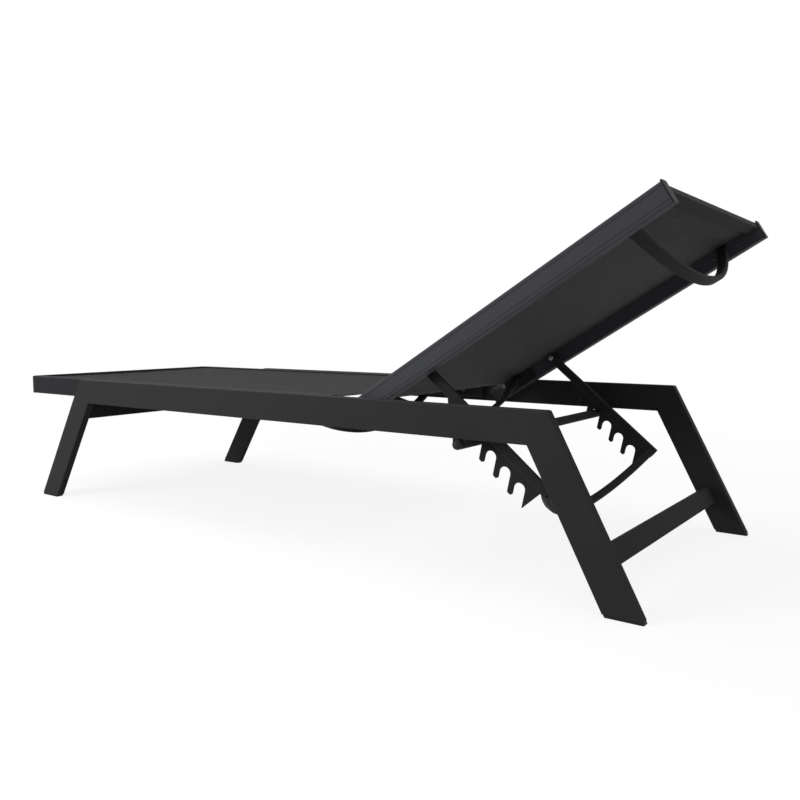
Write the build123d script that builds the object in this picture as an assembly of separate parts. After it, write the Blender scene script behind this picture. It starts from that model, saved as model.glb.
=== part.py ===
from build123d import *
import os
from math import cos, radians, sin, tan

# A sun lounger: two splayed side frames of flat tube, a sling seat between them, and a hinged
# sling backrest that a toothed support frame props on a fixed rod.
# Millimetres, +Z up, +X towards the head. Stations called "from the foot end" start where the
# seat frame starts; the origin is on the floor under the middle of the whole lounger.

# Side frames
seat_height = 324.0
overall_width = 675.0
tube_depth = 60.0
tube_width = 20.0
tube_wall = 1.5
tube_corner = 2.5
mitre_round = 8.0
front_lean = 31.4
rear_lean = 27.7
front_foot_reach = 82.5
rear_foot_reach = 1771.0

# Foot caps
cap_sole = 5.0
cap_inset = 1.0
cap_plug = 25.0
cap_plug_play = 0.1

# Holes that drain the tubes
drain_hole = 6.0
drain_height = 47.0
corner_hole = 5.0

# Cross members of the base
front_bar_width = 20.0
front_bar_drop = 103.0
front_bar_setback = 1.5
stretcher_depth = 39.0
stretcher_width = 20.0
stretcher_height = 80.0
stretcher_setback = 11.0

# Sling rails of the seat and of the backrest
sling_rail_width = 25.0
seat_rail_depth = 47.0
back_rail_depth = 38.0
rail_wall = 2.0
rail_corner = 3.0
seat_frame_drop = 1.0
seat_side_gap = 4.5
seat_back_gap = 78.5
foot_corner = 20.0
groove_width = 2.0
groove_deep = 0.8
groove_shares = (0.21, 0.83)
keder_bore = 4.6
keder_mouth = 2.0
keder_drop = 4.0
keder_cover = 3.0

# Slings and the splines that hold their edges
sling_thick = 1.2
sling_gap = 2.0
spline_play = 0.15

# End caps of the sling rails and the bolts that carry the seat frame
rail_cap_thick = 3.0
rail_cap_plug = 14.0
back_cap_proud = 2.5
seat_bolt_shares = (0.356, 0.667, 0.955)

# Bolts, nuts, washers and bushes
bolt_shank = 8.0
bolt_head = 12.0
bolt_head_thick = 4.0
socket_across = 5.0
socket_deep = 2.4
nut_across = 13.0
nut_thick = 6.5
washer_outer = 17.0
bush_outer = 10.0
running_play = 0.05
head_play = 0.3
screw_head = 6.5
screw_head_thick = 1.8
screw_shank = 4.0

# Backrest frame
back_side_gap = 2.0
back_angle = 31.24
back_start_setback = 582.5
back_below = 56.0
back_above = 678.0
back_sling_start = -12.0
head_bar_width = 25.0
head_bar_depth = 14.0
hinge_up = -14.5
hinge_down = 12.0
hinge_plate_thick = 4.0
hinge_plate_up = 75.0
hinge_plate_belly = 2.0
hinge_plate_margin = 2.0
pivot_up = 143.0
pivot_down = 17.5
upper_bow_up = 596.0
lower_bow_up = 28.0
rail_screw_offsets = (-26.0, 29.0)

# Bowed cross tubes
bow_broad = 22.0
bow_thick = 11.0
bow_corner = 4.0
bow_wall = 1.5
bow_bend = 478.0
bow_slope = 29.4
bow_drop = 12.0
lower_bow_bend = 495.0
lower_bow_slope = 22.5
lower_bow_drop = 12.5
seat_bow_setback = 142.0
seat_bow_bend = 460.0
seat_bow_slope = 33.5
seat_bow_drop = 9.0

# Support frame
arm_slope = 39.5
arm_depth = 20.0
arm_width = 12.0
arm_corner = 5.0
arm_wall = 1.5
arm_gap = 11.0
arm_past_plate = 11.5
rod_offset = 28.5
support_bow_broad = 16.0
support_bow_thick = 13.0
support_bow_inset = 0.5
support_bow_bend = 420.0
support_bow_slope = 39.0
support_bow_drop = 4.0
support_bow_tilt = 7.8

# Ratchet rod under the side rails
rod_outer = 19.0
rod_wall = 1.5
rod_rail_gap = 0.5
rod_dome = 8.0
rod_dome_proud = 9.0
rod_dome_round_share = 0.95
rod_plug = 12.0
saddle_length = 28.0
saddle_depth = 7.0
saddle_inset = 1.0
saddle_end_inset = 5.0

# Ratchet plates
plate_thick = 4.5
plate_start = 74.0
plate_nose = 10.0
plate_shoulder = 22.0
notch_count = 5
rod_notch = 1
notch_pitch = 39.0
notch_drift = 1.6
notch_width = 23.5
notch_lean = 12.0
notch_seat = 0.3
tooth_reach = 18.5
tooth_round = 3.6
fin_drop = 20.0
fin_root = 4.0
overrun = 5.0

half_width = overall_width / 2
rail_inner = half_width - tube_width
rail_bottom = seat_height - tube_depth
front_rise = tan(radians(front_lean))
rear_rise = tan(radians(rear_lean))
front_top_reach = front_foot_reach + seat_height * front_rise
rear_top_reach = rear_foot_reach - seat_height * rear_rise
front_inner_reach = front_foot_reach + rail_bottom * front_rise + tube_depth / cos(radians(front_lean))
rear_inner_reach = rear_foot_reach - rail_bottom * rear_rise - tube_depth / cos(radians(rear_lean))

back_start_reach = rear_foot_reach - back_start_setback
seat_length = back_start_reach - seat_back_gap
seat_bow_reach = seat_length - seat_bow_setback
seat_bolt_reaches = [seat_length * share for share in seat_bolt_shares]

back_cos = cos(radians(back_angle))
back_sin = sin(radians(back_angle))
head_reach = (back_start_reach + (back_above + rail_cap_thick) * back_cos
              + back_rail_depth * back_sin)
overall_length = max(head_reach, rear_foot_reach)
foot_end = -overall_length / 2

seat_half = rail_inner - seat_side_gap
seat_top = seat_height - seat_frame_drop
seat_rail_inner = seat_half - sling_rail_width
seat_bolt_height = seat_height - tube_depth / 2
back_half = rail_inner - back_side_gap
back_inner = back_half - sling_rail_width

back_plane = Plane(origin=(foot_end + back_start_reach, 0, seat_height),
                   x_dir=(back_cos, 0, back_sin), z_dir=(-back_sin, 0, back_cos))
hinge_point = back_plane.from_local_coords((hinge_up, 0, -hinge_down))
pivot_point = back_plane.from_local_coords((pivot_up, 0, -pivot_down))
arm_cos = cos(radians(arm_slope))
arm_sin = sin(radians(arm_slope))
arm_plane = Plane(origin=pivot_point, x_dir=(arm_cos, 0, -arm_sin), z_dir=(arm_sin, 0, arm_cos))
arm_outer = back_inner - arm_gap
arm_inner = arm_outer - arm_width

# The rod touches the rails from below, and the arm meets it in one of its notches.
rod_height = rail_bottom - rod_rail_gap - rod_outer / 2
rod_drop = pivot_point.Z - rod_height
rod_along = (rod_drop - rod_offset * arm_cos) / arm_sin
rod_point = arm_plane.from_local_coords((rod_along, 0, -rod_offset))

# The rod bears on the side of its notch that faces the pivot, and the arm runs on past the last notch.
notch_slack_share = (notch_width / 2 - rod_outer / 2 - notch_seat) / (rod_along ** 2 + rod_offset ** 2) ** 0.5
notch_along = rod_along * (1 + notch_slack_share) - rod_notch * notch_pitch
notch_below = rod_offset * (1 + notch_slack_share) - rod_notch * notch_drift
notch_turn = radians(arm_slope - notch_lean)
last_wall = notch_along + (notch_count - 1) * notch_pitch + notch_width / 2 / cos(notch_turn)
arm_length = last_wall + fin_drop + arm_past_plate


def box(x_low, x_high, y_low, y_high, z_low, z_high):
    size = (x_high - x_low, y_high - y_low, z_high - z_low)
    middle = ((x_low + x_high) / 2, (y_low + y_high) / 2, (z_low + z_high) / 2)
    return Pos(*middle) * Box(*size)


def rod_along_y(radius, y_low, y_high, x, z):
    middle = (x, (y_low + y_high) / 2, z)
    return Pos(*middle) * Rot(90, 0, 0) * Cylinder(radius, abs(y_high - y_low))


def hexagon_along_y(across, y_low, y_high, x, z):
    face = RegularPolygon(across / 2, 6, major_radius=False)
    length = abs(y_high - y_low)
    return Pos(x, max(y_low, y_high), z) * Rot(90, 0, 0) * extrude(face, length)


def prism(points, y_low, y_high):
    """A straight-sided outline in the X and Z plane, carried from one Y to the other."""
    plane = Plane(origin=(0, y_high, 0), x_dir=(1, 0, 0), z_dir=(0, -1, 0))
    face = make_face(plane * Polyline(*points, close=True))
    return extrude(face, y_high - y_low, dir=(0, -1, 0))


def tube_section(width, depth, corner, wall):
    outer = RectangleRounded(width, depth, corner)
    inner = RectangleRounded(width - 2 * wall, depth - 2 * wall, max(corner - wall, wall / 2))
    return outer - inner


def tube_between(start, end, side, width, depth, corner, wall):
    """A flat tube from start to end in the X and Z plane, with its broad side upright."""
    first = Vector(start[0], side, start[1])
    last = Vector(end[0], side, end[1])
    plane = Plane(origin=first, x_dir=(0, 1, 0), z_dir=last - first)
    return extrude(plane * tube_section(width, depth, corner, wall), (last - first).length)


def mirrored(part):
    return mirror(part, about=Plane.XZ)


def leg_outline(foot_reach, lean, low, high, inset):
    """The four corners of a leg between two heights, drawn in by inset on both edges.
    foot_reach is where its outer edge meets the floor, and lean is signed towards the middle."""
    rise = tan(radians(lean))
    across = 1 / cos(radians(lean))
    sign = 1 if lean > 0 else -1
    outer = foot_end + foot_reach + sign * inset * across
    inner = foot_end + foot_reach + sign * (tube_depth - inset) * across
    return [(outer + low * rise, low), (inner + low * rise, low),
            (inner + high * rise, high), (outer + high * rise, high)]


def leg(foot_reach, lean, top_reach, inner_reach):
    """A leg of flat tube, cut level above its foot cap and mitred where it meets the rail."""
    rise = tan(radians(lean))
    sign = 1 if lean > 0 else -1
    shift = sign * tube_depth / 2 / cos(radians(lean))
    middle = foot_end + foot_reach + shift
    side = half_width - tube_width / 2
    start = (middle - tube_depth * rise, -tube_depth)
    height = seat_height + tube_depth
    tube = tube_between(start, (middle + height * rise, height), side,
                        tube_width, tube_depth, tube_corner, tube_wall)
    low = leg_outline(foot_reach, lean, cap_sole, cap_sole, -overrun)
    mitre = [(foot_end + top_reach, seat_height), (foot_end + inner_reach, rail_bottom)]
    lengthen = overrun / tube_depth
    step_x = (mitre[0][0] - mitre[1][0]) * lengthen
    step_z = (mitre[0][1] - mitre[1][1]) * lengthen
    mitre = [(mitre[0][0] + step_x, mitre[0][1] + step_z), (mitre[1][0] - step_x, mitre[1][1] - step_z)]
    tube &= prism([low[0], low[1], mitre[1], mitre[0]], rail_inner - overrun, half_width + overrun)
    inner_edge = middle + shift + drain_height * rise
    drain = Pos(inner_edge, side, drain_height) * Rot(0, 90, 0) * Cylinder(drain_hole / 2, tube_depth / 2)
    return tube - drain - corner_drain(inner_reach) - corner_shaving(top_reach, lean)


def corner_shaving(top_reach, lean):
    """What the round outer corner takes off a mitre, with lean signed towards the middle."""
    sign = 1 if lean > 0 else -1
    tilt = radians(abs(lean))
    corner_x = foot_end + top_reach
    middle_x = corner_x + sign * mitre_round * tan(radians(90 - abs(lean)) / 2)
    middle_z = seat_height - mitre_round
    reach = mitre_round + overrun
    past = reach / mitre_round
    points = [(middle_x, middle_z), (middle_x, middle_z + reach),
              (middle_x + (corner_x - middle_x) * past, middle_z + reach),
              (middle_x - sign * reach * cos(tilt), middle_z + reach * sin(tilt))]
    wedge = prism(points, rail_inner - overrun, half_width + overrun)
    return wedge - rod_along_y(mitre_round, rail_inner - 2 * overrun, half_width + 2 * overrun,
                               middle_x, middle_z)


def corner_drain(inner_reach):
    """The hole in the inner face at the inside of a mitre, half in the leg and half in the rail."""
    return rod_along_y(corner_hole / 2, rail_inner - overrun, rail_inner + tube_width / 2,
                       foot_end + inner_reach, rail_bottom + corner_hole)


def side_rail():
    """The rail between the legs of one side, mitred at both ends."""
    side = half_width - tube_width / 2
    height = seat_height - tube_depth / 2
    tube = tube_between((foot_end + front_top_reach - tube_depth, height),
                        (foot_end + rear_top_reach + tube_depth, height), side,
                        tube_width, tube_depth, tube_corner, tube_wall)
    keep = prism([(foot_end + front_top_reach, seat_height), (foot_end + rear_top_reach, seat_height),
                  (foot_end + rear_inner_reach, rail_bottom), (foot_end + front_inner_reach, rail_bottom)],
                 rail_inner - overrun, half_width + overrun)
    rail = tube & keep
    reaches = [foot_end + reach for reach in seat_bolt_reaches]
    for x in reaches:
        rail -= rod_along_y(bolt_shank / 2, rail_inner - overrun, rail_inner + tube_width / 2,
                            x, seat_bolt_height)
    rail -= rod_along_y(bolt_shank / 2, rail_inner - overrun, rail_inner + tube_width / 2,
                        hinge_point.X, hinge_point.Z)
    rail -= corner_drain(front_inner_reach) + corner_drain(rear_inner_reach)
    return rail - corner_shaving(front_top_reach, front_lean) - corner_shaving(rear_top_reach, -rear_lean)


def foot_cap(foot_reach, lean):
    """A moulded cap: a sole under the tube and a plug inside it."""
    rise = tan(radians(lean))
    sole = prism(leg_outline(foot_reach, lean, 0, cap_sole, cap_inset),
                 rail_inner + cap_inset, half_width - cap_inset)
    inside = tube_wall + cap_plug_play
    plug = prism(leg_outline(foot_reach, lean, cap_sole, cap_sole + cap_plug, inside),
                 rail_inner + inside, half_width - inside)
    corner_edges = [edge for edge in plug.edges() if abs(edge.tangent_at(0.5).Y) < 0.5
                    and abs(edge.tangent_at(0.5).Z) > 0.5]
    plug = fillet(corner_edges, tube_corner - tube_wall)
    lean_edges = [edge for edge in sole.edges() if abs(edge.tangent_at(0.5).Z) > 0.5]
    return fillet(lean_edges, tube_corner) + plug


def front_cross_bar():
    """The tube between the front legs, under the seat rails."""
    low = seat_height - front_bar_drop
    high = seat_top - seat_rail_depth
    rear = (foot_end + front_foot_reach + low * front_rise + tube_depth / cos(radians(front_lean))
            - front_bar_setback)
    face = Plane.XZ * Pos(rear - front_bar_width / 2, (low + high) / 2) * tube_section(
        front_bar_width, high - low, tube_corner, tube_wall)
    return extrude(face, rail_inner, both=True)


def rear_stretcher():
    """The flat tube between the rear legs, tilted with them."""
    edge = foot_end + rear_foot_reach - stretcher_height * rear_rise
    across = tube_depth - stretcher_setback - stretcher_width / 2
    x = edge - across / cos(radians(rear_lean))
    section = Rot(0, 0, rear_lean) * tube_section(stretcher_width, stretcher_depth, tube_corner, tube_wall)
    face = Plane.XZ * Pos(x, stretcher_height) * section
    return extrude(face, rail_inner, both=True)


def rail_face(depth):
    """A hollow sling rail in section: its outer face is at x zero and its top at y zero.
    The outer face has two grooves; the inner face has the mouth of the bore for the spline."""
    middle = Pos(sling_rail_width / 2, -depth / 2)
    solid = middle * RectangleRounded(sling_rail_width, depth, rail_corner)
    hollow_top = keder_drop + keder_bore / 2 + rail_wall
    hollow = Pos(sling_rail_width / 2, -(hollow_top + depth - rail_wall) / 2) * RectangleRounded(
        sling_rail_width - 2 * rail_wall, depth - rail_wall - hollow_top, rail_wall / 2)
    bore_x = sling_rail_width - keder_cover - keder_bore / 2
    bore = Pos(bore_x, -keder_drop) * Circle(keder_bore / 2)
    mouth_length = sling_rail_width - bore_x + overrun
    mouth = Pos(bore_x + mouth_length / 2, -keder_drop) * Rectangle(mouth_length, keder_mouth)
    face = solid - hollow - bore - mouth
    for share in groove_shares:
        face -= Pos(0, -depth * share) * Rectangle(groove_deep * 2, groove_width)
    return face


def rail_length(depth, start, end):
    """The left-hand sling rail along X between two stations, outer face at y zero."""
    plane = Plane(origin=(end, 0, 0), x_dir=(0, -1, 0), z_dir=(-1, 0, 0))
    return extrude(plane * rail_face(depth), end - start)


def seat_rail():
    rail = rail_length(seat_rail_depth, foot_end + sling_rail_width, foot_end + seat_length)
    rail = Pos(0, seat_half, seat_top) * rail
    for reach in seat_bolt_reaches:
        rail -= rod_along_y(bolt_shank / 2, seat_rail_inner - overrun, seat_half + overrun,
                            foot_end + reach, seat_bolt_height)
    return rail


def foot_end_bar():
    """The bar across the foot end, rounded in plan at both corners, hollow from below."""
    bar = box(foot_end, foot_end + sling_rail_width, -seat_half, seat_half,
              seat_top - seat_rail_depth, seat_top)
    outer = [edge for edge in bar.edges().filter_by(Axis.Z)
             if edge.center().X < foot_end + sling_rail_width / 2]
    bar = fillet(outer, foot_corner)
    rims = [edge for edge in bar.edges()
            if edge.center().Z > seat_top - rail_wall and edge.center().X < foot_end + foot_corner]
    bar = fillet(rims, rail_corner)
    return bar - box(foot_end + rail_wall, foot_end + sling_rail_width - rail_wall,
                     -seat_rail_inner, seat_rail_inner,
                     seat_top - seat_rail_depth - overrun, seat_top - rail_wall * 2)


def rail_cap(depth, proud):
    """The cap on the end of a left-hand rail that ends at x zero: a flange and its plug.
    The flange stands proud of the rail's top face."""
    plate = box(0, rail_cap_thick, -sling_rail_width, 0, -depth, proud)
    plate = fillet(plate.edges().filter_by(Axis.X), rail_corner)
    top = keder_drop + keder_bore / 2 + rail_wall + cap_plug_play
    inset = rail_wall + cap_plug_play
    plug = box(-rail_cap_plug, 0, -sling_rail_width + inset, -inset, -depth + inset, -top)
    return plate + fillet(plug.edges().filter_by(Axis.X), rail_wall / 2)


def sling(length_low, length_high, outer_half):
    """A stretched sheet from spline to spline, flat, with its middle at z zero."""
    edge = outer_half - sling_rail_width + keder_cover
    return box(length_low, length_high, -edge, edge, -sling_thick / 2, sling_thick / 2)


def spline(length_low, length_high, outer_half):
    """The spline in the bore of the left-hand rail, with its middle at z zero."""
    radius = keder_bore / 2 - spline_play
    y = outer_half - sling_rail_width + keder_cover + keder_bore / 2
    length = length_high - length_low
    return Pos(length_low + length / 2, y, 0) * Rot(0, 90, 0) * Cylinder(radius, length)


def bow(half_span, slope, bend, broad, thick):
    """A cross tube bent down in the middle: its ends at z zero, its broad side along X."""
    turn = radians(slope)
    side = bend * sin(turn)
    low = -(half_span - side) * tan(turn)
    middle = low - bend * (1 - cos(turn))
    path = Wire([Edge.make_line((0, -half_span, 0), (0, -side, low)),
                 Edge.make_three_point_arc((0, -side, low), (0, 0, middle), (0, side, low)),
                 Edge.make_line((0, side, low), (0, half_span, 0))])
    plane = Plane(origin=(0, -half_span, 0), x_dir=(1, 0, 0), z_dir=(0, cos(turn), -sin(turn)))
    return sweep(plane * tube_section(broad, thick, bow_corner, bow_wall), path=path)


def trimmed_bow(half_span, slope, bend, broad=bow_broad, thick=bow_thick):
    """The same bow run on past its ends and cut upright, so that it meets flat walls."""
    longer = half_span + overrun
    raised = Pos(0, 0, overrun * tan(radians(slope))) * bow(longer, slope, bend, broad, thick)
    room = box(-broad, broad, -half_span, half_span, -half_span, half_span)
    return raised & room


def bolt(inner_face, outer_end, x, z):
    """A socket bolt along +Y whose head lies inside inner_face."""
    head = rod_along_y(bolt_head / 2, inner_face - bolt_head_thick, inner_face, x, z)
    rim = [edge for edge in head.edges() if edge.center().Y < inner_face - bolt_head_thick / 2]
    head = fillet([edge for edge in rim if edge.geom_type == GeomType.CIRCLE], bolt_head_thick / 3)
    head -= hexagon_along_y(socket_across, inner_face - bolt_head_thick - overrun,
                            inner_face - bolt_head_thick + socket_deep, x, z)
    return head + rod_along_y(bolt_shank / 2, inner_face, outer_end, x, z)


def nut(face, x, z):
    """A nut whose near face is at Y face, threaded on its bolt."""
    return hexagon_along_y(nut_across, face, face + nut_thick, x, z) - rod_along_y(
        bolt_shank / 2, face - overrun, face + nut_thick + overrun, x, z)


def ring(outer, inner, y_low, y_high, x, z):
    return rod_along_y(outer / 2, y_low, y_high, x, z) - rod_along_y(
        inner / 2, y_low - overrun, y_high + overrun, x, z)


def back_rail():
    """The left-hand backrest rail, bored for the hinge bush and the support's pivot bolt."""
    rail = Pos(0, back_half, 0) * rail_length(back_rail_depth, -back_below, back_above)
    rail -= rod_along_y(bush_outer / 2, back_inner - overrun, back_half + overrun, hinge_up, -hinge_down)
    rail -= rod_along_y(bolt_shank / 2, back_inner - overrun, back_inner + rail_wall + overrun,
                        pivot_up, -pivot_down)
    for offset in rail_screw_offsets:
        rail -= rod_along_y(screw_shank / 2, back_inner - overrun, back_inner + rail_wall + overrun,
                            upper_bow_up + offset, -back_rail_depth / 2)
    return rail


def hinge_plate():
    """A stiffening plate on the inner face of the rail, deeper around the hinge."""
    low = -back_rail_depth + rail_corner
    high = -(keder_drop + keder_mouth + hinge_plate_margin)
    belly = -back_rail_depth - hinge_plate_belly
    start = -back_below + hinge_plate_margin
    points = [(start, high), (hinge_plate_up, high), (hinge_plate_up, low), (hinge_plate_up / 2, low),
              (hinge_plate_margin, belly), (2 * hinge_up, belly), (start, low)]
    plate = prism(points, back_inner - hinge_plate_thick, back_inner)
    return plate - rod_along_y(bush_outer / 2, back_inner - hinge_plate_thick - overrun,
                               back_inner + overrun, hinge_up, -hinge_down)


def head_bar():
    """The cross bar between the upper ends of the backrest rails, its top level with theirs."""
    face = Plane.XZ * Pos(back_above - head_bar_width / 2, -head_bar_depth / 2) * tube_section(
        head_bar_width, head_bar_depth, tube_corner, tube_wall)
    return extrude(face, back_inner, both=True)


def rail_screws():
    """The screws on the inner face of each rail, either side of the upper bow."""
    heads = []
    for offset in rail_screw_offsets:
        x = upper_bow_up + offset
        z = -back_rail_depth / 2
        head = rod_along_y(screw_head / 2, back_inner - screw_head_thick, back_inner, x, z)
        rim = [edge for edge in head.edges() if edge.center().Y < back_inner - screw_head_thick / 2]
        head = fillet([edge for edge in rim if edge.geom_type == GeomType.CIRCLE], screw_head_thick / 2)
        shank = rod_along_y(screw_shank / 2, back_inner, back_inner + rail_wall, x, z)
        heads.append(head + shank)
    return heads


def support_arm():
    """The left-hand arm: a flat tube closed by a round end about its pivot."""
    middle = arm_inner + arm_width / 2
    plane = Plane(origin=(-arm_depth, middle, 0), x_dir=(0, 1, 0), z_dir=(1, 0, 0))
    length = arm_length + arm_depth
    solid = extrude(plane * RectangleRounded(arm_width, arm_depth, arm_corner), length)
    eye = rod_along_y(arm_depth / 2, arm_inner, arm_outer, 0, 0)
    solid &= eye + box(0, arm_length, arm_inner, arm_outer, -arm_depth / 2, arm_depth / 2)
    inside = Plane(origin=(arm_depth, middle, 0), x_dir=(0, 1, 0), z_dir=(1, 0, 0))
    hollow = extrude(inside * RectangleRounded(
        arm_width - 2 * arm_wall, arm_depth - 2 * arm_wall, arm_corner - arm_wall), arm_length)
    return solid - hollow - rod_along_y(bush_outer / 2, arm_inner - overrun, arm_outer + overrun, 0, 0)


def notch_centres():
    """Where the centre of each notch's round end lies, along the arm and below it."""
    return [(notch_along + step * notch_pitch, notch_below + step * notch_drift)
            for step in range(notch_count)]


def ratchet_plate():
    """The toothed plate under the arm, on its middle line. Its notches open down and lean back."""
    centres = notch_centres()
    down = (sin(notch_turn), -cos(notch_turn))
    under = arm_depth / 2
    first, last = centres[0], centres[-1]
    low_first = first[1] + tooth_reach
    low_last = last[1] + tooth_reach
    nose = plate_start + plate_nose
    shoulder = first[0] - plate_shoulder + tooth_reach * tan(notch_turn)
    fin_tip = last_wall + (tooth_reach + fin_root) * tan(notch_turn)
    outline = [(plate_start, -under), (last_wall + fin_drop, -under), (fin_tip, -low_last - fin_root),
               (shoulder, -low_first), (nose, -under - plate_nose)]
    middle_y = arm_inner + arm_width / 2
    low_y = middle_y - plate_thick / 2
    high_y = middle_y + plate_thick / 2
    plate = prism(outline, low_y, high_y)
    length = notch_width * 3
    for along, below in centres:
        middle = (along + down[0] * length / 2, middle_y, -below + down[1] * length / 2)
        slot = Pos(*middle) * Rot(0, notch_lean - arm_slope, 0) * Box(notch_width, arm_width, length)
        plate -= slot + rod_along_y(notch_width / 2, low_y - overrun, high_y + overrun, along, -below)
    slope = (low_last - low_first) / (last[0] - first[0])
    tips = [edge for edge in plate.edges().filter_by(Axis.Y)
            if -edge.center().Z > low_first + slope * (edge.center().X - first[0]) - tooth_round / 2
            and edge.center().X < fin_tip - notch_width / 2]
    return fillet(tips, tooth_round)


def ratchet_rod():
    """The tube that lies across under both side rails and carries the support frame."""
    half = half_width + rod_dome_proud - rod_dome
    x = rod_point.X
    return ring(rod_outer, rod_outer - 2 * rod_wall, -half, half, x, rod_height)


def rod_end_plug():
    """A domed plug in the left-hand end of the rod."""
    x = rod_point.X
    tip = half_width + rod_dome_proud
    face = tip - rod_dome
    dome = rod_along_y(rod_outer / 2, face, tip, x, rod_height)
    rim = [edge for edge in dome.edges() if edge.geom_type == GeomType.CIRCLE
           and edge.center().Y > face + rod_dome / 2]
    dome = fillet(rim, rod_dome * rod_dome_round_share)
    return dome + rod_along_y(rod_outer / 2 - rod_wall, face - rod_plug, face, x, rod_height)


def rod_saddle():
    """The block between the left-hand rail and the rod, hollowed to the rod."""
    x = rod_point.X
    block = box(x - saddle_length / 2, x + saddle_length / 2, rail_inner + saddle_inset,
                half_width - saddle_end_inset, rail_bottom - saddle_depth, rail_bottom)
    return block - rod_along_y(rod_outer / 2, rail_inner - overrun, half_width + overrun, x, rod_height)


def base_nodes():
    left_leg = leg(front_foot_reach, front_lean, front_top_reach, front_inner_reach)
    left_rear = leg(rear_foot_reach, -rear_lean, rear_top_reach, rear_inner_reach)
    front_cap = foot_cap(front_foot_reach, front_lean)
    rear_cap = foot_cap(rear_foot_reach, -rear_lean)
    rail = side_rail()
    seat_side = seat_rail()
    end_x = foot_end + seat_length
    cap = Pos(end_x, seat_half, seat_top) * rail_cap(seat_rail_depth, 0)
    sling_low = foot_end + sling_rail_width + sling_gap
    sling_high = end_x - sling_gap
    sling_z = seat_top - keder_drop
    seat_spline = Pos(0, 0, sling_z) * spline(sling_low, sling_high, seat_half)
    seat_arch = Pos(foot_end + seat_bow_reach, 0, seat_top - seat_bow_drop - keder_drop) * trimmed_bow(
        seat_rail_inner, seat_bow_slope, seat_bow_bend)
    wall = rail_inner + tube_wall
    bolts = []
    spacers = []
    nuts = []
    for reach in seat_bolt_reaches:
        x = foot_end + reach
        bolts.append(bolt(seat_rail_inner, wall + nut_thick, x, seat_bolt_height))
        spacers.append(ring(washer_outer, bolt_shank, seat_half, rail_inner, x, seat_bolt_height))
        nuts.append(nut(wall, x, seat_bolt_height))
    hx = hinge_point.X
    hz = hinge_point.Z
    plate_face = back_inner - hinge_plate_thick
    hinge_bolt = bolt(plate_face - head_play, wall + nut_thick, hx, hz)
    hinge_washer = ring(washer_outer, bolt_shank, back_half + running_play, rail_inner, hx, hz)
    hinge_nut = nut(wall, hx, hz)
    return {
        "side_rail_left": [rail], "side_rail_right": [mirrored(rail)],
        "front_leg_left": [left_leg], "front_leg_right": [mirrored(left_leg)],
        "rear_leg_left": [left_rear], "rear_leg_right": [mirrored(left_rear)],
        "foot_cap_front_left": [front_cap], "foot_cap_front_right": [mirrored(front_cap)],
        "foot_cap_rear_left": [rear_cap], "foot_cap_rear_right": [mirrored(rear_cap)],
        "front_cross_bar": [front_cross_bar()], "rear_stretcher": [rear_stretcher()],
        "seat_rail_left": [seat_side], "seat_rail_right": [mirrored(seat_side)],
        "foot_end_bar": [foot_end_bar()],
        "seat_rail_caps": both(cap),
        "seat_bow": [seat_arch],
        "seat_sling": [Pos(0, 0, sling_z) * sling(sling_low, sling_high, seat_half)],
        "seat_splines": both(seat_spline),
        "seat_bolts": both(*bolts), "seat_spacers": both(*spacers), "seat_nuts": both(*nuts),
        "hinge_bolts": both(hinge_bolt), "hinge_washers": both(hinge_washer),
        "hinge_nuts": both(hinge_nut),
        "ratchet_rod": [ratchet_rod()], "rod_end_plugs": both(rod_end_plug()),
        "rod_saddles": both(rod_saddle()),
    }


def both(*parts):
    return list(parts) + [mirrored(part) for part in parts]


def backrest_nodes():
    """The backrest in its own frame: X up the rail, Z out of its face, the top face at zero."""
    rail = back_rail()
    upper_cap = Pos(back_above, back_half, 0) * rail_cap(back_rail_depth, back_cap_proud)
    lower_cap = mirror(Pos(back_below, back_half, 0) * rail_cap(back_rail_depth, back_cap_proud), about=Plane.YZ)
    plate = hinge_plate()
    sling_high = back_above - head_bar_width - sling_gap
    back_spline = Pos(0, 0, -keder_drop) * spline(back_sling_start, sling_high, back_half)
    upper = Pos(upper_bow_up, 0, -bow_drop) * trimmed_bow(back_inner, bow_slope, bow_bend)
    lower = Pos(lower_bow_up, 0, -lower_bow_drop) * trimmed_bow(
        back_inner - hinge_plate_thick, lower_bow_slope, lower_bow_bend)
    hinge_bush = ring(bush_outer, bolt_shank + 2 * running_play, back_inner - hinge_plate_thick,
                      back_half, hinge_up, -hinge_down)
    nut_face = back_inner + rail_wall
    pivot_bolt = bolt(arm_inner - head_play, nut_face + nut_thick, pivot_up, -pivot_down)
    pivot_washer = ring(washer_outer, bolt_shank, arm_outer + head_play, back_inner, pivot_up, -pivot_down)
    pivot_nut = nut(nut_face, pivot_up, -pivot_down)
    local = {
        "back_rail_left": [rail], "back_rail_right": [mirrored(rail)],
        "back_caps_upper": both(upper_cap), "back_caps_lower": both(lower_cap),
        "head_bar": [head_bar()],
        "upper_bow": [upper], "lower_bow": [lower],
        "back_sling": [Pos(0, 0, -keder_drop) * sling(back_sling_start, sling_high, back_half)],
        "back_splines": both(back_spline),
        "hinge_plate_left": [plate], "hinge_plate_right": [mirrored(plate)],
        "hinge_bushes": both(hinge_bush),
        "back_rail_screws": both(*rail_screws()),
        "pivot_bolts": both(pivot_bolt), "pivot_washers": both(pivot_washer),
        "pivot_nuts": both(pivot_nut),
    }
    return placed(local, back_plane)


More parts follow.
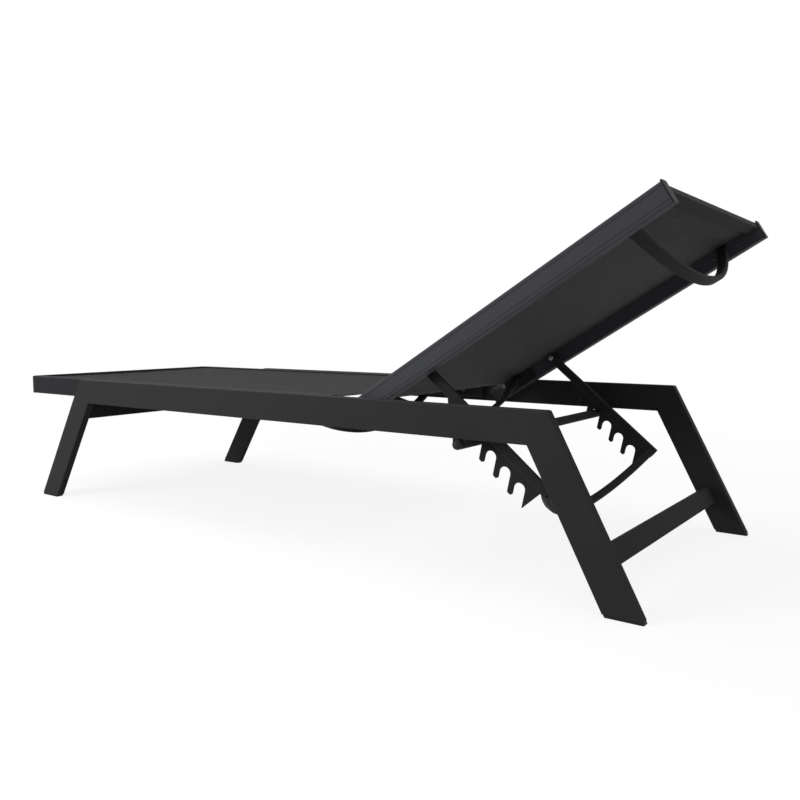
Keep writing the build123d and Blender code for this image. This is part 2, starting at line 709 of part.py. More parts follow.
def support_nodes():
    """The support frame in its own frame: X down the arm from the pivot, Z out of its face."""
    arm = support_arm()
    plate = ratchet_plate()
    station = arm_length - support_bow_inset - support_bow_broad / 2
    arch = Pos(station, 0, -support_bow_drop) * Rot(0, -support_bow_tilt, 0) * trimmed_bow(
        arm_inner, support_bow_slope, support_bow_bend, support_bow_broad, support_bow_thick)
    bush = ring(bush_outer, bolt_shank + 2 * running_play, arm_inner, arm_outer, 0, 0)
    local = {
        "support_arm_left": [arm], "support_arm_right": [mirrored(arm)],
        "support_bow": [arch],
        "ratchet_plate_left": [plate], "ratchet_plate_right": [mirrored(plate)],
        "pivot_bushes": both(bush),
    }
    return placed(local, arm_plane)


def placed(local, plane):
    return {name: [plane.location * part for part in parts] for name, parts in local.items()}


def all_nodes():
    nodes = base_nodes()
    nodes.update(backrest_nodes())
    nodes.update(support_nodes())
    return nodes


def write_parts():
    os.makedirs("parts", exist_ok=True)
    for name, parts in all_nodes().items():
        whole = parts[0] if len(parts) == 1 else Compound(children=parts)
        export_step(whole, "parts/" + name + ".step")
        print(name, len(parts))
    print("hinge", hinge_point, "pivot", pivot_point, "rod", rod_point, "arm", arm_length)


write_parts()
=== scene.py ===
from math import cos, pi, radians, sin
import bpy
import numpy as np
from mathutils import Matrix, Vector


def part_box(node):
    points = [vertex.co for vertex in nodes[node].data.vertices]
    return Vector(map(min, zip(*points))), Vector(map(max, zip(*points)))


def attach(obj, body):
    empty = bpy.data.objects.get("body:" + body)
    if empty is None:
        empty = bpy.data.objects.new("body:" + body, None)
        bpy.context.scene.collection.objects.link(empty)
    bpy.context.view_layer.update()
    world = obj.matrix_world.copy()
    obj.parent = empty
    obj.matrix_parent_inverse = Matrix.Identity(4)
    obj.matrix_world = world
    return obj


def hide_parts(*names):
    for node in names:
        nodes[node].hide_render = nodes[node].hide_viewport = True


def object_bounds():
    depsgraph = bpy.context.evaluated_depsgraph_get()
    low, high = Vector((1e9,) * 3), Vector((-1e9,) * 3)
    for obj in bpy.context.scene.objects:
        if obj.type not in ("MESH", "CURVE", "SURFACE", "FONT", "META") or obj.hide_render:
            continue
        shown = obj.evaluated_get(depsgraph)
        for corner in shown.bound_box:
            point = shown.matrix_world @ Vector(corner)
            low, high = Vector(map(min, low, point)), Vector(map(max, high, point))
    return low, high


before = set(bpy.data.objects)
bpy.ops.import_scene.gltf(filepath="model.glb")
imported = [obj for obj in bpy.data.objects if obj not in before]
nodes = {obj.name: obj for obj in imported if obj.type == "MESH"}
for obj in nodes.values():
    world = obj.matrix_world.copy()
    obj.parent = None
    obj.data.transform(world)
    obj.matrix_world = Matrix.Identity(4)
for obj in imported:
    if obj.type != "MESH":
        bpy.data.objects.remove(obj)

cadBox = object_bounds()
mm = 0.001
print("frame loaded:", len(nodes), "nodes")


# Numbers that several pieces share

lounger = {
    "recline": 31.24,            # degrees, the backrest above level
    "armSlope": 39.5,            # degrees, the support arms below level
    "hingeUp": -14.5 * mm,       # the hinge pin, along the backrest rail from its start
    "hingeDown": 12 * mm,        # and below the rail's top face
    "legInner": 317.5 * mm,      # the inner faces of the side frames
    "armDeep": 20 * mm,          # a support arm from its upper edge to its lower edge
    "plateStart": 76 * mm,       # the weld under it, from the pivot along the arm
    "plateEnd": 318 * mm,
}


def boxCentre(node):
    low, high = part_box(node)
    return np.array([(low[i] + high[i]) / 2 for i in range(3)])


def tiltedFrame(origin, degrees):
    # an origin with two unit vectors: along the tilted member, and out of its top face
    turn = radians(degrees)
    origin = np.array([origin[0], 0, origin[2]])
    return origin, np.array([cos(turn), 0, sin(turn)]), np.array([-sin(turn), 0, cos(turn)])


hingePin = boxCentre("hinge_bolts")
pivotPin = boxCentre("pivot_bolts")
origin, along, up = tiltedFrame(hingePin, lounger["recline"])
backFrame = (origin - lounger["hingeUp"] * along + lounger["hingeDown"] * up, along, up)
armFrame = tiltedFrame(pivotPin, -lounger["armSlope"])
levelFrame = tiltedFrame((0, 0, 0), 0)


def placeIn(where, s, y, w):
    # station s along the member, y across the lounger, w out of its top face
    origin, along, up = where
    s, y, w = np.broadcast_arrays(s, y, w)
    points = origin + s[..., None] * along + w[..., None] * up
    return points + y[..., None] * np.array([0.0, 1.0, 0.0])


def alongAndOut(where, point):
    # a place in the lounger as its station along a tilted member and its height out of it
    origin, along, up = where
    return float(np.dot(point - origin, along)), float(np.dot(point - origin, up))


# Mesh helpers

def gridFaces(rows, columns, wrapRows=False, wrapColumns=False, start=0):
    # quads between neighbours of a grid whose point (i, j) is number i * columns + j
    i = np.arange(rows if wrapRows else rows - 1)[:, None]
    j = np.arange(columns if wrapColumns else columns - 1)[None, :]
    nextI = (i + 1) % rows
    nextJ = (j + 1) % columns
    quads = [i * columns + j, nextI * columns + j, nextI * columns + nextJ, i * columns + nextJ]
    return start + np.stack(np.broadcast_arrays(*quads), axis=-1).reshape(-1, 4)


def joinShapes(shapes):
    # several (points, faces) pairs as one pair
    points, faces, count = [], [], 0
    for shapePoints, shapeFaces in shapes:
        points.append(shapePoints)
        faces += [[corner + count for corner in face] for face in shapeFaces]
        count += len(shapePoints)
    return np.concatenate(points), faces


def makePiece(name, points, faces, body, material, uv=None):
    mesh = bpy.data.meshes.new(name)
    faces = [list(map(int, face)) for face in faces]
    mesh.from_pydata(np.asarray(points, float).tolist(), [], faces)
    mesh.polygons.foreach_set("use_smooth", [True] * len(mesh.polygons))
    if uv is not None:
        corners = np.zeros(len(mesh.loops), int)
        mesh.loops.foreach_get("vertex_index", corners)
        layer = mesh.uv_layers.new(name="UVMap")
        layer.data.foreach_set("uv", np.asarray(uv, float)[corners].ravel())
    mesh.update()
    piece = bpy.data.objects.new(name, mesh)
    bpy.context.scene.collection.objects.link(piece)
    mesh.materials.append(material)
    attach(piece, body)
    return piece


def sweptBead(path, side, radius, sides, closed):
    # circles of the given radii carried along a path; side is a unit vector square to the path's plane
    step = np.roll(path, -1, axis=0) - np.roll(path, 1, axis=0)
    if not closed:
        step[0] = path[1] - path[0]
        step[-1] = path[-1] - path[-2]
    step /= np.linalg.norm(step, axis=1)[:, None]
    across = np.cross(step, side)
    angle = np.linspace(0, 2 * pi, sides, endpoint=False)
    ring = np.cos(angle)[None, :, None] * across[:, None] + np.sin(angle)[None, :, None] * np.asarray(side)
    points = (path[:, None] + np.asarray(radius).reshape(-1, 1, 1) * ring).reshape(-1, 3)
    faces = gridFaces(len(path), sides, closed, True).tolist()
    if not closed:
        faces += [list(range(sides))[::-1], [len(points) - sides + k for k in range(sides)]]
    return points, [face[::-1] for face in faces]


def roundedLoop(width, depth, count):
    # evenly spaced points round a rectangle with round corners, about its own middle
    angle = np.linspace(0, 2 * pi, count, endpoint=False)
    u, v = np.cos(angle), np.sin(angle)
    power = 2 / 7     # a superellipse of power 7 runs close to a small round corner
    return width / 2 * np.sign(u) * abs(u) ** power, depth / 2 * np.sign(v) * abs(v) ** power


# Materials

def linearColour(hexText):
    # sRGB hex to linear light
    value = np.array([int(hexText[i:i + 2], 16) / 255 for i in (1, 3, 5)])
    linear = np.where(value <= 0.04045, value / 12.92, ((value + 0.055) / 1.055) ** 2.4)
    return (*linear.tolist(), 1.0)


def addNode(tree, kind, inputs=None, **settings):
    # one node with its settings; an input is a value or another node's socket
    node = tree.nodes.new(kind)
    for key, value in settings.items():
        setattr(node, key, value)
    for key, value in (inputs or {}).items():
        if isinstance(value, bpy.types.NodeSocket):
            tree.links.new(value, node.inputs[key])
        else:
            node.inputs[key].default_value = value
    return node


def newMaterial(name, roughness, metallic=0.0, ior=1.5, gloss=0.5):
    material = bpy.data.materials.new(name)
    material.use_nodes = True
    tree = material.node_tree
    shader = tree.nodes["Principled BSDF"]
    shader.inputs["Roughness"].default_value = roughness
    shader.inputs["Metallic"].default_value = metallic
    if not metallic:
        shader.inputs["IOR"].default_value = ior
        shader.inputs["Specular IOR Level"].default_value = gloss
    return material, tree, shader


def mathNode(tree, operation, first, second=0.0, third=0.0):
    inputs = {0: first, 1: second, 2: third}
    return addNode(tree, "ShaderNodeMath", inputs, operation=operation).outputs[0]


def mixColours(tree, share, first, second):
    # from the first colour to the second as share goes from nought to one
    mixed = addNode(tree, "ShaderNodeMix", {"Factor": share}, data_type="RGBA")
    sockets = [socket for socket in mixed.inputs if socket.type == "RGBA"]
    for socket, colour in zip(sockets, (first, second)):
        if isinstance(colour, bpy.types.NodeSocket):
            tree.links.new(colour, socket)
        else:
            socket.default_value = colour
    return [socket for socket in mixed.outputs if socket.type == "RGBA"][0]


def powderCoat(name, colour, edgeWearAndHighlight, roughness, gloss, grain=0.45, mottle=0.10):
    # Polyester powder, sprayed on and baked: an even satin skin with a fine grit, a little
    # cloudy over a hand's width, and thinner and shinier along an edge that has seen wear; the lighter
    # edge colour is partly that wear and partly a painted highlight along the tubes' long edges.
    material, tree, shader = newMaterial(name, roughness, gloss=gloss)
    place = addNode(tree, "ShaderNodeTexCoord")
    grit = addNode(tree, "ShaderNodeTexNoise", {
        "Vector": place.outputs["Object"], "Scale": 1 / (grain * mm), "Detail": 2.0, "Roughness": 0.6})
    # the real grit is under half a millimetre, so this second one is drawn 3 mm coarse to show
    fleck = addNode(tree, "ShaderNodeTexNoise", {
        "Vector": place.outputs["Object"], "Scale": 1 / (3 * mm), "Detail": 3.0, "Roughness": 0.7})
    cloud = addNode(tree, "ShaderNodeTexNoise", {
        "Vector": place.outputs["Object"], "Scale": 1 / (90 * mm), "Detail": 2.0})
    parts = addNode(tree, "ShaderNodeSeparateXYZ", {"Vector": place.outputs["Normal"]})
    sideways = mathNode(tree, "ABSOLUTE", parts.outputs["Y"])
    # nought on the flat faces, one where the normal turns half way round a tube's long edge
    edge = mathNode(tree, "MULTIPLY", sideways, mathNode(tree, "SUBTRACT", 1.0, sideways))
    edge = mathNode(tree, "MULTIPLY", edge, 4.0)
    wearAndHighlightMask = mathNode(tree, "MULTIPLY", edge, mathNode(tree, "MULTIPLY_ADD", fleck.outputs[0], 0.9, 0.1))
    cloudy = mathNode(tree, "MULTIPLY_ADD", cloud.outputs[0], mottle * 2, 1 - mottle)
    flecked = mathNode(tree, "MULTIPLY_ADD", fleck.outputs[0], 0.24, 0.88)
    tone = mathNode(tree, "MULTIPLY", cloudy, flecked)
    base = addNode(tree, "ShaderNodeVectorMath", {
        0: linearColour(colour)[:3], "Scale": tone}, operation="SCALE")
    # the edges lean to the lighter colour: partly wear, partly a painted highlight along the long edges
    blended = mixColours(tree, wearAndHighlightMask, base.outputs[0], linearColour(edgeWearAndHighlight))
    rough = mathNode(tree, "MULTIPLY_ADD", fleck.outputs[0], 0.16, roughness - 0.08)
    rough = mathNode(tree, "MULTIPLY_ADD", wearAndHighlightMask, -0.08, rough)
    bump = addNode(tree, "ShaderNodeBump", {
        "Height": grit.outputs[0], "Strength": 0.35, "Distance": 0.08 * mm})
    tree.links.new(blended, shader.inputs["Base Color"])
    tree.links.new(rough, shader.inputs["Roughness"])
    tree.links.new(bump.outputs[0], shader.inputs["Normal"])
    return material


def slingCloth(name, colour, pitShade, roughness, gloss, acrossPitch, alongPitch):
    # Polyester yarn in a vinyl coat, woven in a plain open weave: each yarn rounds over the
    # next, with painted shade in the opening between four of them, and a yarn's tone drifts along its
    # length.
    # The map is in millimetres. The yarns are drawn twice their real width, so that they show.
    material, tree, shader = newMaterial(name, roughness, ior=1.45, gloss=gloss)
    flat = addNode(tree, "ShaderNodeUVMap", uv_map="UVMap")
    parts = addNode(tree, "ShaderNodeSeparateXYZ", {"Vector": flat.outputs[0]})
    across = mathNode(tree, "MULTIPLY", parts.outputs["X"], pi / acrossPitch)
    lengthwise = mathNode(tree, "MULTIPLY", parts.outputs["Y"], pi / alongPitch)
    waveA = mathNode(tree, "SINE", across)
    waveB = mathNode(tree, "SINE", lengthwise)
    over = mathNode(tree, "MULTIPLY", waveA, waveB)
    crown = mathNode(tree, "MINIMUM", mathNode(tree, "ABSOLUTE", waveA), mathNode(tree, "ABSOLUTE", waveB))
    solid = mathNode(tree, "POWER", crown, 0.35)
    height = mathNode(tree, "MULTIPLY_ADD", over, 0.35, solid)
    warpPlace = addNode(tree, "ShaderNodeMapping", {
        "Vector": flat.outputs[0], "Scale": (1 / acrossPitch, 0.01, 1.0)})
    weftPlace = addNode(tree, "ShaderNodeMapping", {
        "Vector": flat.outputs[0], "Scale": (0.01, 1 / alongPitch, 1.0)})
    warp = addNode(tree, "ShaderNodeTexNoise", {
        "Vector": warpPlace.outputs[0], "Scale": 0.8, "Detail": 1.0})
    weft = addNode(tree, "ShaderNodeTexNoise", {
        "Vector": weftPlace.outputs[0], "Scale": 0.8, "Detail": 1.0})
    cloud = addNode(tree, "ShaderNodeTexNoise", {"Vector": flat.outputs[0], "Scale": 1 / 70, "Detail": 2.0})
    drift = mathNode(tree, "ADD", warp.outputs[0], weft.outputs[0])
    tone = mathNode(tree, "MULTIPLY_ADD", drift, 0.35, 0.65)
    tone = mathNode(tree, "MULTIPLY", tone, mathNode(tree, "MULTIPLY_ADD", cloud.outputs[0], 0.2, 0.9))
    base = addNode(tree, "ShaderNodeVectorMath", {
        0: linearColour(colour)[:3], "Scale": tone}, operation="SCALE")
    # painted shade in the openings between the yarns, where the yarn crowns fall away
    blended = mixColours(tree, solid, linearColour(pitShade), base.outputs[0])
    bump = addNode(tree, "ShaderNodeBump", {"Height": height, "Strength": 0.6, "Distance": 0.35 * mm})
    rough = mathNode(tree, "MULTIPLY_ADD", crown, -0.12, roughness + 0.06)
    tree.links.new(blended, shader.inputs["Base Color"])
    tree.links.new(rough, shader.inputs["Roughness"])
    tree.links.new(bump.outputs[0], shader.inputs["Normal"])
    return material


def mouldedPlastic(name, colour, roughness, texture=0.6, gloss=0.25):
    # Moulded plastic: an eroded mould gives it a fine leathery grain, dull in the pits.
    material, tree, shader = newMaterial(name, roughness, ior=1.48, gloss=gloss)
    place = addNode(tree, "ShaderNodeTexCoord")
    grain = addNode(tree, "ShaderNodeTexVoronoi", {
        "Vector": place.outputs["Object"], "Scale": 1 / (texture * mm)}, feature="F1")
    cloud = addNode(tree, "ShaderNodeTexNoise", {
        "Vector": place.outputs["Object"], "Scale": 1 / (12 * mm), "Detail": 3.0})
    tone = mathNode(tree, "MULTIPLY_ADD", cloud.outputs[0], 0.3, 0.85)
    tone = mathNode(tree, "MULTIPLY", tone, mathNode(tree, "MULTIPLY_ADD", grain.outputs[0], 0.25, 0.88))
    base = addNode(tree, "ShaderNodeVectorMath", {
        0: linearColour(colour)[:3], "Scale": tone}, operation="SCALE")
    rough = mathNode(tree, "MULTIPLY_ADD", cloud.outputs[0], 0.16, roughness - 0.08)
    bump = addNode(tree, "ShaderNodeBump", {
        "Height": grain.outputs[0], "Strength": 0.3, "Distance": 0.06 * mm})
    tree.links.new(base.outputs[0], shader.inputs["Base Color"])
    tree.links.new(rough, shader.inputs["Roughness"])
    tree.links.new(bump.outputs[0], shader.inputs["Normal"])
    return material


def platedSteel(name, colour, roughness):
    # Steel turned, then plated with zinc or blackened: a little cloudy, with fine turning rings.
    material, tree, shader = newMaterial(name, roughness, metallic=1.0)
    place = addNode(tree, "ShaderNodeTexCoord")
    cloud = addNode(tree, "ShaderNodeTexNoise", {
        "Vector": place.outputs["Object"], "Scale": 1 / (4 * mm), "Detail": 4.0, "Roughness": 0.7})
    rings = addNode(tree, "ShaderNodeTexNoise", {
        "Vector": place.outputs["Object"], "Scale": 1 / (0.35 * mm), "Detail": 1.0})
    tone = mathNode(tree, "MULTIPLY_ADD", cloud.outputs[0], 0.4, 0.8)
    base = addNode(tree, "ShaderNodeVectorMath", {
        0: linearColour(colour)[:3], "Scale": tone}, operation="SCALE")
    rough = mathNode(tree, "MULTIPLY_ADD", cloud.outputs[0], 0.25, roughness - 0.12)
    bump = addNode(tree, "ShaderNodeBump", {
        "Height": rings.outputs[0], "Strength": 0.15, "Distance": 0.03 * mm})
    tree.links.new(base.outputs[0], shader.inputs["Base Color"])
    tree.links.new(rough, shader.inputs["Roughness"])
    tree.links.new(bump.outputs[0], shader.inputs["Normal"])
    return material


# each coat's second colour is its lighter edge colour, partly wear and partly a painted highlight
frameCoat = powderCoat("charcoal_powder_coat", "#424243", "#575758", 0.72, 0.07)
seatRailCoat = powderCoat("charcoal_powder_coat_extrusion", "#36363A", "#4C4C50", 0.68, 0.09, mottle=0.06)
railCoat = powderCoat("slate_powder_coat_extrusion", "#56575D", "#6E6F75", 0.62, 0.12, mottle=0.06)
steelCoat = powderCoat("black_powder_coat_steel", "#3A3A3A", "#4E4E4E", 0.74, 0.10)
# the third colour of each cloth is the painted shade in the weave's openings
seatCloth = slingCloth("woven_vinyl_yarn_seat", "#464646", "#1D1D1D", 0.74, 0.09, 1.3, 1.1)
backCloth = slingCloth("woven_vinyl_yarn_back", "#6C6C6B", "#202020", 0.72, 0.12, 1.3, 1.1)
# a bonded thread is as smooth and dull as a moulding
threadCloth = mouldedPlastic("bonded_polyester_thread", "#303030", 0.60, 0.3)
capPlastic = mouldedPlastic("moulded_black_polypropylene", "#1B1B1C", 0.62)
plugPlastic = mouldedPlastic("moulded_grey_polyethylene", "#2C2C2D", 0.50)
bushNylon = mouldedPlastic("turned_black_nylon", "#202022", 0.40)
boltSteel = platedSteel("zinc_plated_steel", "#96989B", 0.36)
darkSteel = platedSteel("blackened_steel", "#48484A", 0.44)
print("materials made")

coatOf = {
    frameCoat: ["side_rail_left", "side_rail_right", "front_leg_left", "front_leg_right", "rear_leg_left",
                "rear_leg_right", "front_cross_bar", "rear_stretcher", "foot_end_bar"],
    seatRailCoat: ["seat_rail_left", "seat_rail_right"],
    railCoat: ["back_rail_left", "back_rail_right"],
    steelCoat: ["seat_bow", "upper_bow", "lower_bow", "support_bow", "support_arm_left", "support_arm_right",
                "ratchet_plate_left", "ratchet_plate_right", "hinge_plate_left", "hinge_plate_right",
                "ratchet_rod", "head_bar"],
    # the rod saddles are real blocks under the rails, but their near-black plastic paints the shade in the
    # strip beneath the rails' bottom edge
    capPlastic: ["foot_cap_front_left", "foot_cap_front_right", "foot_cap_rear_left", "foot_cap_rear_right",
                 "seat_rail_caps", "back_caps_upper", "back_caps_lower", "rod_saddles", "seat_splines",
                 "back_splines", "seat_spacers"],
    plugPlastic: ["rod_end_plugs"],
    bushNylon: ["hinge_washers", "hinge_bushes", "pivot_washers", "pivot_bushes"],
    boltSteel: ["seat_nuts", "hinge_nuts", "pivot_bolts", "pivot_nuts"],
    darkSteel: ["seat_bolts", "hinge_bolts", "back_rail_screws"],
}
for coat, names in coatOf.items():
    for name in names:
        for slot in nodes[name].material_slots:
            slot.material = coat
        if not nodes[name].material_slots:
            nodes[name].data.materials.append(coat)
print("frame coated")


# Slings: a sheet pulled tight from rail to rail, hemmed at both free ends

sling = {
    "thick": 1.1 * mm,
    "solidThick": 1.2 * mm,  # the CAD solid that the sheet stands for
    "hem": 24 * mm,          # how far the folded end reaches
    "fold": 1.0 * mm,        # the second layer under it
    "step": 2.0 * mm,        # over which the fold's edge falls
    "across": 81,            # points from rail to rail
    "lengthwise": 181,       # points from end to end
    "seatSag": 5 * mm,
    "backSag": 4 * mm,
    "endShare": 0.35,        # of the sag, at the free ends
}
stitch = {
    "pitch": 4.5 * mm,
    "length": 3.3 * mm,
    "thick": 0.55 * mm,
    "rows": (14 * mm, 18 * mm),   # from the sling's end
    "inset": 8 * mm,              # from the sling's edges
}


def slingDip(sag, sideShare, lengthShare):
    # a parabola across, times a curve along that rises steeply from the free ends
    middleShare = 1 - sling["endShare"]
    return -sag * (1 - sideShare ** 2) * (sling["endShare"] + middleShare * np.sin(pi * lengthShare) ** 0.5)


def slingSheet(name, where, low, high, edge, level, sag, body, material):
    # The middle dips by sag. The underside lies one layer below the top, and two layers where
    # the hem is.
    y = np.linspace(-edge, edge, sling["across"])[None, :]
    share = (1 - np.cos(np.linspace(0, pi, sling["lengthwise"]))) / 2
    share = 0.5 * share + 0.5 * np.linspace(0, 1, sling["lengthwise"])   # closer stations at the ends
    s = (low + (high - low) * share)[:, None]
    end = np.minimum(s - low, high - s)
    dip = slingDip(sag, y / edge, share[:, None])
    folded = 1 / (1 + np.exp((end - sling["hem"]) / (sling["step"] / 6)))
    top = level + sling["thick"] / 2 + dip
    under = top - sling["thick"] - sling["fold"] * folded
    rounding = np.clip(1 - end / sling["thick"], 0, 1) * sling["thick"] * 0.3
    ring = np.concatenate([placeIn(where, s, y, top - rounding),
                           placeIn(where, s, y, under + rounding)[:, ::-1]], axis=1)
    flatAcross = np.broadcast_to(np.concatenate([y, y[:, ::-1]], axis=1), ring.shape[:2])
    flatAlong = np.broadcast_to(s, ring.shape[:2])
    count = 2 * sling["across"]
    faces = gridFaces(sling["lengthwise"], count, False, True)[:, ::-1].tolist()
    last = (sling["lengthwise"] - 1) * count
    for start, flip in ((0, 1), (last, -1)):
        for j in range(sling["across"] - 1):
            a, b = start + j, start + j + 1
            c, d = start + count - 2 - j, start + count - 1 - j
            faces.append([a, b, c, d][::flip])
    uv = np.stack([flatAcross, flatAlong], axis=-1).reshape(-1, 2) / mm
    piece = makePiece(name, ring.reshape(-1, 3), faces, body, material, uv)

    def surface(station, side):
        return level + slingDip(sag, side / edge, (station - low) / (high - low))

    return piece, surface


def stitchRows(name, where, low, high, half, surface, body):
    # each stitch is a short four-sided spindle that rises out of the cloth and dips back into it
    count = int(2 * half / stitch["pitch"])
    middle = (np.arange(count) - (count - 1) / 2) * stitch["pitch"]
    shapes = []
    along5 = np.array([-0.5, -0.25, 0, 0.25, 0.5]) * stitch["length"]
    fat5 = np.array([0.05, 0.85, 1, 0.85, 0.05]) * stitch["thick"] / 2
    rise5 = np.array([-0.6, 0.25, 0.45, 0.25, -0.6]) * stitch["thick"]
    angle = np.linspace(0, 2 * pi, 4, endpoint=False)
    for row in stitch["rows"]:
        for station in (low + row, high - row):
            for side in (1, -1):
                offset = sling["thick"] / 2 if side > 0 else -sling["thick"] / 2 - sling["fold"]
                y = middle[:, None, None] + along5[None, :, None] + 0 * angle
                s = station + (fat5[None, :, None] * np.cos(angle)) + 0 * y
                w = (surface(station, middle)[:, None, None] + offset + side * rise5[None, :, None]
                     + fat5[None, :, None] * np.sin(angle))
                points = placeIn(where, s, y, w)
                one = gridFaces(5, 4, False, True).tolist() + [[3, 2, 1, 0], [16, 17, 18, 19]]
                for k in range(count):
                    shapes.append((points[k].reshape(-1, 3), one))
    points, faces = joinShapes(shapes)
    return makePiece(name, points, faces, body, threadCloth)


low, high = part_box("seat_sling")
seatSling, seatSurface = slingSheet("seat_sling_cloth", levelFrame, low[0], high[0], high[1],
                                    (low[2] + high[2]) / 2, sling["seatSag"], "base", seatCloth)
seatStitches = stitchRows("seat_sling_stitches", levelFrame, low[0], high[0], high[1] - stitch["inset"],
                          seatSurface, "base")
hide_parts("seat_sling")

middle = boxCentre("back_sling")
low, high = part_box("back_sling")
recline = radians(lounger["recline"])
clothLength = (high[0] - low[0] - sling["solidThick"] * sin(recline)) / cos(recline)
backCentre, backLevel = alongAndOut(backFrame, middle)
backSling, backSurface = slingSheet("back_sling_cloth", backFrame, backCentre - clothLength / 2,
                                    backCentre + clothLength / 2, high[1], backLevel, sling["backSag"],
                                    "backrest", backCloth)
backStitches = stitchRows("back_sling_stitches", backFrame, backCentre - clothLength / 2,
                          backCentre + clothLength / 2, high[1] - stitch["inset"], backSurface, "backrest")
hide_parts("back_sling")
print("slings made")


# Welds: a bead round each tube where it meets another, with the ripples of its passes

weld = {
    "radius": 1.0 * mm,
    "ripple": 2.6 * mm,      # from one pass to the next
    "swell": 0.22,           # how much a pass stands out, as a share of the radius
    "sides": 8,
    "spacing": 0.65 * mm,    # between rings
    "stretcherTilt": 27.7,   # degrees, the rear stretcher's section in the side view
    "stretcherThick": 20 * mm,
    "stretcherWide": 39 * mm,
}


def weldRing(where, s, w, tilt, width, depth, y):
    # a bead round a rounded rectangle that stands on the face at y
    around = 2 * (width + depth)
    count = int(around / weld["spacing"])
    u, v = roundedLoop(width, depth, count)
    turn = radians(tilt)
    path = placeIn(where, s + u * cos(turn) - v * sin(turn), y, w + u * sin(turn) + v * cos(turn))
    run = np.arange(count) / count * around
    passes = abs(np.sin(pi * run / weld["ripple"]))
    radius = weld["radius"] * (1 - weld["swell"] + weld["swell"] * passes)
    return sweptBead(path, (0.0, 1.0, 0.0), radius, weld["sides"], True)


def weldLine(where, start, stop, w, y):
    # a straight bead along a member, drawn thin at both ends
    count = int(abs(stop - start) / weld["spacing"]) + 2
    s = np.linspace(start, stop, count)
    run = abs(s - start)
    passes = abs(np.sin(pi * run / weld["ripple"]))
    ends = np.clip(np.minimum(run, run[-1] - run) / (2 * mm), 0.15, 1)
    radius = weld["radius"] * (1 - weld["swell"] + weld["swell"] * passes) * ends
    return sweptBead(placeIn(where, s, y, w), (0.0, 1.0, 0.0), radius, weld["sides"], False)


def boxRing(node, inner):
    # beads round a level cross bar, on the faces at plus and minus inner
    low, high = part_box(node)
    middle = boxCentre(node)
    return [weldRing(levelFrame, middle[0], middle[2], 0, high[0] - low[0], high[2] - low[2], side * inner)
            for side in (1, -1)]


baseWelds = boxRing("front_cross_bar", lounger["legInner"])
middle = boxCentre("rear_stretcher")
for side in (1, -1):
    baseWelds.append(weldRing(levelFrame, middle[0], middle[2], weld["stretcherTilt"],
                              weld["stretcherThick"], weld["stretcherWide"], side * lounger["legInner"]))
points, faces = joinShapes(baseWelds)
makePiece("base_welds", points, faces, "base", frameCoat)


def bowEnds(node, where, inner):
    # beads round a bowed tube where its two ends meet the walls at plus and minus inner
    mesh = nodes[node].data
    points = np.zeros(len(mesh.vertices) * 3)
    mesh.vertices.foreach_get("co", points)
    points = points.reshape(-1, 3)
    beads = []
    for side in (1, -1):
        face = points[side * points[:, 1] > inner - 0.05 * mm]
        s, w = alongAndOut(where, face.mean(axis=0))
        spans = [np.ptp((face - where[0]) @ where[k]) for k in (1, 2)]
        beads.append(weldRing(where, s, w, 0, spans[0], spans[1], side * inner))
    return beads


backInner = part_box("upper_bow")[1][1]
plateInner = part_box("lower_bow")[1][1]
backWelds = bowEnds("upper_bow", backFrame, backInner) + bowEnds("lower_bow", backFrame, plateInner)
points, faces = joinShapes(backWelds)
makePiece("backrest_welds", points, faces, "backrest", steelCoat)

supportWelds = bowEnds("support_bow", armFrame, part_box("support_bow")[1][1])
for side, node in ((1, "ratchet_plate_left"), (-1, "ratchet_plate_right")):
    low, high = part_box(node)
    plate = abs((low[1] + high[1]) / 2)
    for face in (-1, 1):
        supportWelds.append(weldLine(armFrame, lounger["plateStart"], lounger["plateEnd"],
                                     -lounger["armDeep"] / 2, side * plate + face * (high[1] - low[1]) / 2))
points, faces = joinShapes(supportWelds)
makePiece("support_welds", points, faces, "support", steelCoat)
print("welds made")


# Stage: a pale floor, a white surround and soft light

stage = {
    "floor": 60.0,               # metres across
    "floorColour": "#B4B4B4",
    "floorLift": 0.83,           # added to what the camera sees of it, so that it ends up near white
    "plainFrom": 1.0,            # metres from the middle, where the floor starts to turn plain white
    "plainTo": 2.6,
    "surround": 0.26,            # light from all round
    "topSize": 2.2, "topPower": 6.5, "topSpot": (-0.2, -0.3, 2.6),
    "sideSize": 1.4, "sidePower": 19.0, "sideSpot": (-0.9, -2.3, 0.9),
}


def seenDirectly(tree):
    # one for rays from the camera, and for those that a mirror or glass sends on
    rays = addNode(tree, "ShaderNodeLightPath").outputs
    either = mathNode(tree, "MAXIMUM", rays["Is Camera Ray"], rays["Is Glossy Ray"])
    return mathNode(tree, "MAXIMUM", either, rays["Is Transmission Ray"])


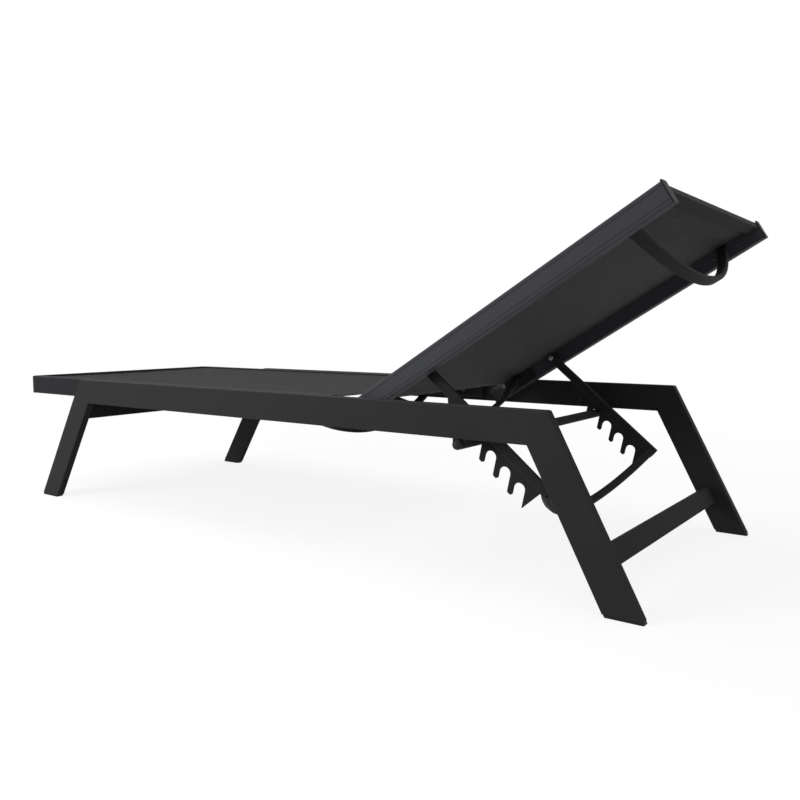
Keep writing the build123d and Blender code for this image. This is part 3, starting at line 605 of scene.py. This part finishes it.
def buildStage():
    half = stage["floor"] / 2
    mesh = bpy.data.meshes.new("studio_floor")
    mesh.from_pydata([(-half, -half, 0), (half, -half, 0), (half, half, 0), (-half, half, 0)], [],
                     [(0, 1, 2, 3)])
    floor = bpy.data.objects.new("studio_floor", mesh)
    bpy.context.scene.collection.objects.link(floor)
    material = bpy.data.materials.new("matt_studio_floor")
    material.use_nodes = True
    tree = material.node_tree
    tree.nodes.clear()
    seen = seenDirectly(tree)
    place = addNode(tree, "ShaderNodeTexCoord")
    away = addNode(tree, "ShaderNodeVectorMath", {0: place.outputs["Object"]}, operation="LENGTH")
    plain = addNode(tree, "ShaderNodeMapRange", {
        "Value": away.outputs["Value"], "From Min": stage["plainFrom"], "From Max": stage["plainTo"]},
        interpolation_type="SMOOTHSTEP")
    paint = addNode(tree, "ShaderNodeBsdfDiffuse", {"Color": linearColour(stage["floorColour"])})
    lift = addNode(tree, "ShaderNodeEmission", {
        "Strength": mathNode(tree, "MULTIPLY", seen, stage["floorLift"])})
    near = addNode(tree, "ShaderNodeAddShader", {0: paint.outputs[0], 1: lift.outputs[0]})
    white = addNode(tree, "ShaderNodeEmission", {"Strength": 1.0})
    share = mathNode(tree, "MULTIPLY", plain.outputs[0], seen)
    whole = addNode(tree, "ShaderNodeMixShader", {0: share, 1: near.outputs[0], 2: white.outputs[0]})
    addNode(tree, "ShaderNodeOutputMaterial", {"Surface": whole.outputs[0]})
    mesh.materials.append(material)

    world = bpy.data.worlds.new("white_surround")
    bpy.context.scene.world = world
    world.use_nodes = True
    tree = world.node_tree
    tree.nodes.clear()
    dim = addNode(tree, "ShaderNodeBackground", {"Color": (1, 1, 1, 1), "Strength": stage["surround"]})
    bright = addNode(tree, "ShaderNodeBackground", {"Color": (1, 1, 1, 1), "Strength": 1.0})
    mix = addNode(tree, "ShaderNodeMixShader", {
        0: seenDirectly(tree), 1: dim.outputs[0], 2: bright.outputs[0]})
    addNode(tree, "ShaderNodeOutputWorld", {"Surface": mix.outputs[0]})


def addLamp(name, spot, aim, size, power):
    lamp = bpy.data.lights.new(name, "AREA")
    lamp.shape = "DISK"
    lamp.size = size
    lamp.energy = power
    holder = bpy.data.objects.new(name, lamp)
    bpy.context.scene.collection.objects.link(holder)
    holder.location = spot
    direction = aim - holder.location
    holder.rotation_euler = direction.to_track_quat("-Z", "Y").to_euler()
    return holder


buildStage()
cadMiddle = (cadBox[0] + cadBox[1]) / 2
addLamp("top_softbox", stage["topSpot"], cadMiddle, stage["topSize"], stage["topPower"])
addLamp("side_softbox", stage["sideSpot"], cadMiddle, stage["sideSize"], stage["sidePower"])


# Camera, found by matching the frame's corners to the photograph

camera = {
    "spot": (1.27826, -1.52902, 0.46423),
    "yaw": 36.0446,
    "pitch": -5.3560,
    "roll": -0.1132,
    "lens": 36.2145,
}


def buildCamera():
    yaw, pitch, roll = (radians(camera[key]) for key in ("yaw", "pitch", "roll"))
    ahead = np.array([-sin(yaw) * cos(pitch), cos(yaw) * cos(pitch), sin(pitch)])
    right = np.array([cos(yaw), sin(yaw), 0])
    over = np.cross(right, ahead)
    rightRolled = right * cos(roll) + over * sin(roll)
    overRolled = over * cos(roll) - right * sin(roll)
    data = bpy.data.cameras.new("photo_camera")
    data.lens = camera["lens"]
    data.sensor_width = 36.0
    data.clip_start = 0.05
    data.clip_end = 100.0
    holder = bpy.data.objects.new("photo_camera", data)
    bpy.context.scene.collection.objects.link(holder)
    matrix = np.eye(4)
    matrix[:3] = np.stack([rightRolled, overRolled, -ahead, camera["spot"]], axis=1)
    holder.matrix_world = Matrix(matrix.tolist())
    bpy.context.scene.camera = holder


buildCamera()
bpy.context.scene.view_settings.view_transform = "Standard"
print("stage and camera ready")
